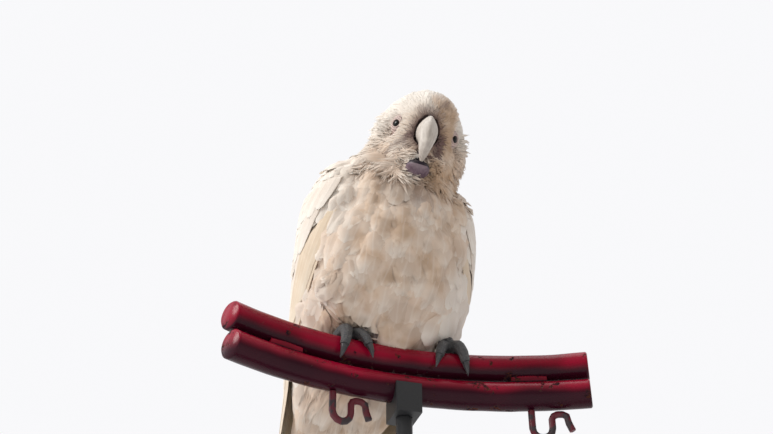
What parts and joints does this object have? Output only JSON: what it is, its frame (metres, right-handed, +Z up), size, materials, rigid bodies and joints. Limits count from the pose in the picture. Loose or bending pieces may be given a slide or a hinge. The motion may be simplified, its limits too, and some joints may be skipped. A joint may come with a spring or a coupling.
{
  "type": "little corella cockatoo",
  "caption": "Life-size white cockatoo perched on a short curved length of double steel rail, held up by a flat round base and one upright rod.",
  "frame": {"origin": "centre of the stand base's underside, on the floor", "axes": "+Z up; the bird faces -Y, its left side is towards +X and its tail is towards +Y"},
  "size_m": [0.2338, 0.22, 0.5601],
  "materials": {
    "plumage": "soft white contour feathers, stained buff on the face and breast",
    "flight_feather": "smooth white vanes, dull sheen",
    "bill_horn": "pale bone-coloured horn, worn satin",
    "tongue": "moist dark grey",
    "eye": "wet, dark brown",
    "foot_skin": "dark grey scaly skin",
    "claw_horn": "dark horn, satin",
    "rail_paint": "worn crimson enamel over dark steel",
    "hook_steel": "dark painted wire, worn",
    "stand_steel": "matt black powder coat"
  },
  "bodies": {
    "root": {"head": "plumage", "neck": "plumage", "trunk": "plumage", "crest": "plumage", "thigh_right": "plumage", "thigh_left": "plumage", "wing_right": "flight_feather", "wing_left": "flight_feather", "flight_feathers_right": "flight_feather", "flight_feathers_left": "flight_feather", "tail": "flight_feather", "bill_upper": "bill_horn", "bill_lower": "bill_horn", "tongue": "tongue", "eye_right": "eye", "eye_left": "eye", "foot_right": "foot_skin", "foot_left": "foot_skin", "claw_right_1": "claw_horn", "claw_right_2": "claw_horn", "claw_right_3": "claw_horn", "claw_right_4": "claw_horn", "claw_left_1": "claw_horn", "claw_left_2": "claw_horn", "claw_left_3": "claw_horn", "claw_left_4": "claw_horn", "perch_rail_upper": "rail_paint", "perch_rail_lower": "rail_paint", "perch_weld_right": "rail_paint", "perch_weld_left": "rail_paint", "perch_hook_right": "hook_steel", "perch_hook_left": "hook_steel", "stand_base": "stand_steel", "stand_collar": "stand_steel", "stand_rod": "stand_steel", "stand_saddle": "stand_steel"}
  },
  "joints": []
}
